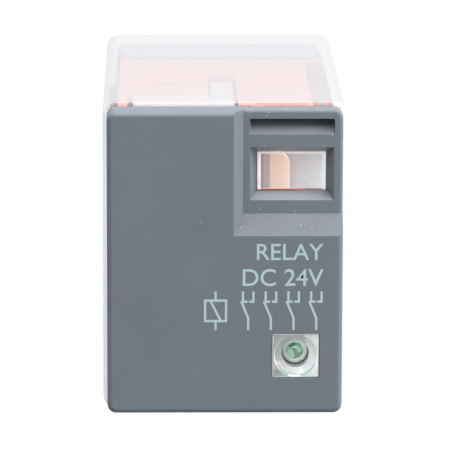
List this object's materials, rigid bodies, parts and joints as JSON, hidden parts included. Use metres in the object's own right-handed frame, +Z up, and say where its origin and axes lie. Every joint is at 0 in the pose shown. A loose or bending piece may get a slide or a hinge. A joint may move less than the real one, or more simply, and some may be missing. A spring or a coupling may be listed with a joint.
{
  "type": "plug-in control relay",
  "caption": "Plug-in control relay with a clear cover, grey face cap, flag window, indicator lamp and flat pins behind.",
  "frame": {"origin": "centre of the rear face of the pin base, the face that seats on the socket", "axes": "+Y out of the rear face along the pins, -Y towards the grey face cap, +Z up towards the side next to the flag window, +X to the right as the face is read"},
  "size_m": [0.021, 0.046, 0.027],
  "materials": {
    "cap_grey": "fine matte moulding",
    "clear_polycarbonate": "clear, polished",
    "lens_clear": "clear, polished",
    "base_white": "fine matte moulding",
    "natural_nylon": "satin moulding",
    "salmon_plastic": "satin moulding",
    "flag_orange": "satin moulding",
    "soft_iron": "nickel plated, satin",
    "spring_steel": "bright wire",
    "enamelled_copper": "glossy enamel over copper",
    "copper_braid": "bare stranded copper",
    "tinned_brass": "tin plated, satin",
    "spring_bronze": "bright strip",
    "contact_silver": "silver alloy, satin",
    "coil_tape": "glossy film",
    "circuit_board": "solder mask",
    "led_green": "tinted epoxy, polished",
    "resistor_black": "coated chip",
    "diode_glass": "glass body",
    "wire_sleeve": "PVC insulation"
  },
  "bodies": {
    "housing": {"face_cap": "cap_grey", "clear_cover": "clear_polycarbonate", "led_lens": "lens_clear", "pin_base": "base_white", "contact_cage": "salmon_plastic", "yoke": "soft_iron", "core": "soft_iron", "coil_bobbin": "salmon_plastic", "coil_winding": "enamelled_copper", "coil_tape": "coil_tape", "coil_lead_left": "enamelled_copper", "coil_lead_right": "enamelled_copper", "terminal_no_1": "tinned_brass", "terminal_nc_1": "tinned_brass", "terminal_common_1": "tinned_brass", "contact_nc_1": "contact_silver", "contact_no_1": "contact_silver", "braid_1": "copper_braid", "terminal_no_2": "tinned_brass", "terminal_nc_2": "tinned_brass", "terminal_common_2": "tinned_brass", "contact_nc_2": "contact_silver", "contact_no_2": "contact_silver", "braid_2": "copper_braid", "terminal_no_3": "tinned_brass", "terminal_nc_3": "tinned_brass", "terminal_common_3": "tinned_brass", "contact_nc_3": "contact_silver", "contact_no_3": "contact_silver", "braid_3": "copper_braid", "terminal_no_4": "tinned_brass", "terminal_nc_4": "tinned_brass", "terminal_common_4": "tinned_brass", "contact_nc_4": "contact_silver", "contact_no_4": "contact_silver", "braid_4": "copper_braid", "terminal_coil_1": "tinned_brass", "terminal_coil_2": "tinned_brass", "return_spring": "spring_steel", "led": "led_green", "led_anode_lead": "tinned_brass", "led_cathode_lead": "tinned_brass", "led_board": "circuit_board", "led_resistor": "resistor_black", "led_diode": "diode_glass", "led_jumper_wire": "wire_sleeve"},
    "armature": {"armature_plate": "soft_iron", "contact_carrier": "natural_nylon", "moving_spring_1": "spring_bronze", "moving_spring_2": "spring_bronze", "moving_spring_3": "spring_bronze", "moving_spring_4": "spring_bronze", "moving_contact_1": "contact_silver", "moving_contact_2": "contact_silver", "moving_contact_3": "contact_silver", "moving_contact_4": "contact_silver"},
    "flag": {"indicator_flag": "flag_orange"}
  },
  "joints": [
    {"name": "armature_pivot", "type": "hinge", "parent": "housing", "child": "armature", "pos_m": [0, -0.03005, 0.0022], "axis": [1, 0, 0], "range_deg": [0, 3], "stiffness_Nm_per_rad": 0.02, "springref_deg": -14.32, "deforming": ["return_spring", "braid_1", "braid_2", "braid_3", "braid_4"]},
    {"name": "flag_swing", "type": "hinge", "parent": "housing", "child": "flag", "pos_m": [0.005, -0.0303, 0.0098], "axis": [0, 0, 1], "range_deg": [0, 17.5]}
  ],
  "couplings": [
    {"joint": "flag_swing", "follows": "armature_pivot", "ratio": 5.8}
  ]
}
